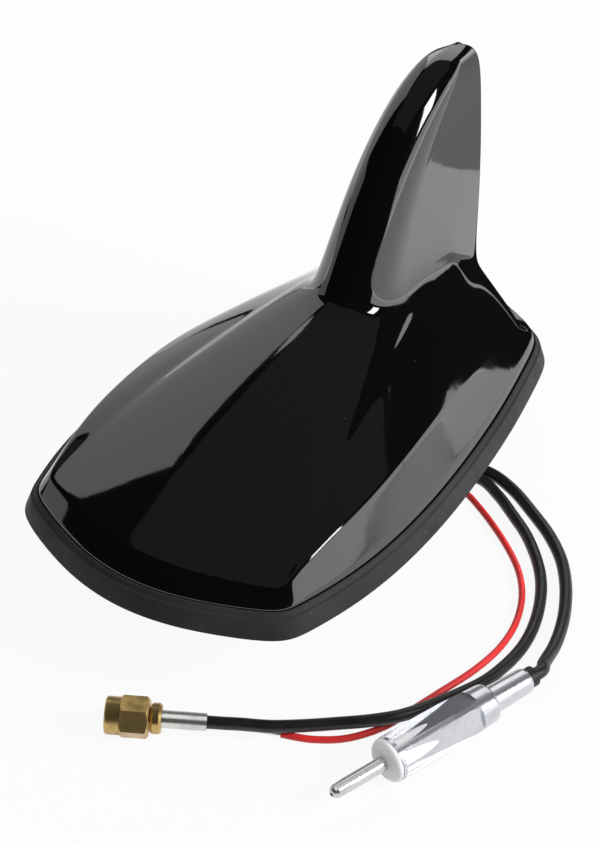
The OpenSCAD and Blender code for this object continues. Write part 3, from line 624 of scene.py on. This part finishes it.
for ob, mt in ((housing, M_BLACK), (seal, M_SEAL), (stud, M_ZINC), (fm_cord, M_JACKET),
               (gps_cord, M_JACKET), (red_cord, M_RED)):
    paint(ob, mt)
for n, mt in {"base_plate": M_CAST, "lead_gland": M_BOOT, "main_board": M_BOARD,
              "board_screws": M_ZINC, "housing_screws": M_ZINC, "patch_ceramic": M_CER,
              "patch_electrode": M_ZINC, "patch_pad": M_FOAM, "amp_can": M_ZINC,
              "fm_chip": M_CHIP, "choke_coils": M_COPPER, "capacitors": M_CAP,
              "fin_board": M_BOARD, "fin_trace": M_COPPER, "contact_spring": M_GOLD,
              "fm_boot": M_BOOT, "fm_collar": M_CHROME, "fm_shell": M_CHROME,
              "fm_insulator": M_WHITE, "fm_pin": M_PINM, "coax_ferrule": M_FERR,
              "coax_body": M_BRASS, "coax_insulator": M_WHITE, "coax_pin": M_GOLD,
              "coax_nut": M_BRASS, "power_lead_tip": M_FERR}.items():
    paint(nodes[n], mt)

# ---------------------------------------------------------------- floor and painted reflection sheets
FLOOR_REACH, FLOOR_DROP, REFLECTION_SHEET_LIFT = 12, 0.0001, 0.0002
FLOOR_SHOWN = 0.92    # how much of the floor is plain white where it is looked at


def sheet(name, corners, z):
    """Flat sheet that belongs to the scene and not to the part."""
    ob = new_mesh(name, [(x, y, z) for x, y in corners], [(0, 1, 2, 3)], smooth=False)
    return ob


floor = sheet("floor", [(x * FLOOR_REACH, y * FLOOR_REACH)
                        for x, y in ((-1, -1), (1, -1), (1, 1), (-1, 1))], FLOOR - FLOOR_DROP)
k = Mat("floor", (0.82, 0.82, 0.82), 0.9)
k.set("Specular IOR Level", 0.1)
k.set("Base Color", k.ramp(k.noise(3, 2), [(0.3, (0.81, 0.81, 0.81)), (0.7, (0.83, 0.83, 0.83))]))
white = k.put(k.nodes.new("ShaderNodeEmission"), {"Strength": 1.0}).outputs[0]
path = k.nodes.new("ShaderNodeLightPath").outputs
looked_at = k.math("MAXIMUM", path["Is Camera Ray"], path["Is Glossy Ray"])
looked_at = k.math("MAXIMUM", looked_at, path["Is Transmission Ray"])
seen_mix = k.put(k.nodes.new("ShaderNodeMixShader"), {
    0: k.math("MULTIPLY", looked_at, FLOOR_SHOWN), 1: k.bsdf.outputs[0], 2: white})
k.links.new(seen_mix.outputs[0], k.nodes["Material Output"].inputs["Surface"])
paint(floor, k.mat)


def painted_reflection_sheet(name, corners, value):
    """Painted reflection: a sheet on the floor behind the part that glows with this grey value,
    seen by mirror rays alone.
    """
    ob = sheet(name, corners, FLOOR + REFLECTION_SHEET_LIFT)
    c = Mat(name, (0.01, 0.01, 0.01), 0.9)
    c.set("Specular IOR Level", 0.0)
    # The sheet's grey is emission: a painted reflection, no lamp, that lights nothing
    c.set("Emission Color", (1, 1, 1, 1))
    c.set("Emission Strength", value)
    paint(ob, c.mat)
    for flag in ("visible_camera", "visible_diffuse", "visible_shadow", "visible_transmission"):
        setattr(ob, flag, False)


# Painted reflections: the first glows not at all and keeps the rear shoulder dark; the second
# glows grey and dims the top of the fin's near side
painted_reflection_sheet("dark_painted_reflection", [(0.014, 0.080), (0.085, 1.0), (-0.54, 1.0), (-0.01, 0.080)], 0.0)
painted_reflection_sheet("grey_painted_reflection", [(0.0225, 0.172), (0.060, 0.160), (0.200, 0.55), (0.052, 0.55)], 0.42)

# ---------------------------------------------------------------- light
LAMP_AIM = Vector((0, 0, 0.02))


def card(name, az_deg, el_deg, dist, w, h, radiance, roll=0.0, shift=(0, 0)):
    """Area lamp at this azimuth from +Y towards +X and this elevation from the part, turned
    to it and then shifted in its own plane."""
    a, e = math.radians(az_deg), math.radians(el_deg)
    loc = Vector((math.sin(a) * math.cos(e), math.cos(a) * math.cos(e), math.sin(e))) * dist
    li = bpy.data.lights.new(name, "AREA")
    li.shape = "RECTANGLE"
    li.size, li.size_y = w, h
    li.energy = radiance * math.pi * w * h
    ob = bpy.data.objects.new(name, li)
    bpy.context.scene.collection.objects.link(ob)
    turn = ((LAMP_AIM - loc).to_track_quat("-Z", "Y").to_matrix()
            @ Matrix.Rotation(math.radians(roll), 3, "Z"))
    ob.location = loc + turn @ Vector((*shift, 0))
    ob.rotation_euler = turn.to_euler()
    return ob


# Cards that the gloss black mirrors. The low ones stand on the floor's far edge, as seen in it
card("right_rear_near", 35.75, 7.36, 0.75, 0.279, 0.170, 1.3)
card("right_rear_low", 19.9, 5.1, 0.75, 0.139, 0.110, 1.2)
card("right_rear_far", 70, 8.2, 0.80, 0.70, 0.206, 1.4)
card("left_rear", -80, 36.3, 0.85, 0.95, 0.85, 0.72, 22, (-0.27, -0.175))
card("left_side", -114.5, 13, 0.86, 0.35, 0.33, 0.5, 16)
card("back_top", -20, 36, 0.95, 0.86, 0.62, 1.3)
card("overhead", 0, 84, 1.2, 1.5, 1.5, 0.06)
card("streak", 76, 34, 1.0, 0.25, 0.44, 9.5).visible_diffuse = False
# Lamps that light the part and aren't mirrored in it
card("key_fill", 72, 30, 1.3, 0.5, 0.5, 21.0).visible_glossy = False
card("front_fill", 190, 58, 1.3, 0.45, 0.45, 1.8).visible_glossy = False
# A soft box over the bright metal of the plugs alone: it would grey the black housing
plug_top = card("plug_top", 150, 84, 0.9, 1.0, 0.9, 1.0)
bright_metal = bpy.data.collections.new("bright_metal")
for n in ("fm_collar", "fm_shell", "fm_insulator", "fm_pin", "coax_ferrule"):
    bright_metal.objects.link(nodes[n])
plug_top.light_linking.receiver_collection = bright_metal

# The world's grey, as mirrored in the part, as soft light on it, and as its backdrop
WORLD_MIRRORED, WORLD_LIGHT, WORLD_SHOWN = 0.014, 0.20, 0.98
world = bpy.data.worlds.new("world")
bpy.context.scene.world = world
world.use_nodes = True
wn, wl = world.node_tree.nodes, world.node_tree.links
wn.clear()
ray = wn.new("ShaderNodeLightPath").outputs


def backdrop(value):
    b = wn.new("ShaderNodeBackground")
    b.inputs["Color"].default_value = (value, value, value, 1)
    return b.outputs[0]


def by_ray(kind, others, these):
    """One shader for this kind of ray, and another for the others."""
    mix = wn.new("ShaderNodeMixShader")
    for i, source in enumerate((ray[kind], others, these)):
        wl.new(source, mix.inputs[i])
    return mix.outputs[0]


lit = by_ray("Is Diffuse Ray", backdrop(WORLD_MIRRORED), backdrop(WORLD_LIGHT))
wl.new(by_ray("Is Camera Ray", lit, backdrop(WORLD_SHOWN)),
       wn.new("ShaderNodeOutputWorld").inputs["Surface"])
bpy.context.scene.view_settings.view_transform = "Standard"

print("lead lengths", round(fm_len, 4), round(gps_len, 4), round(red_len, 4))
bpy.context.view_layer.update()
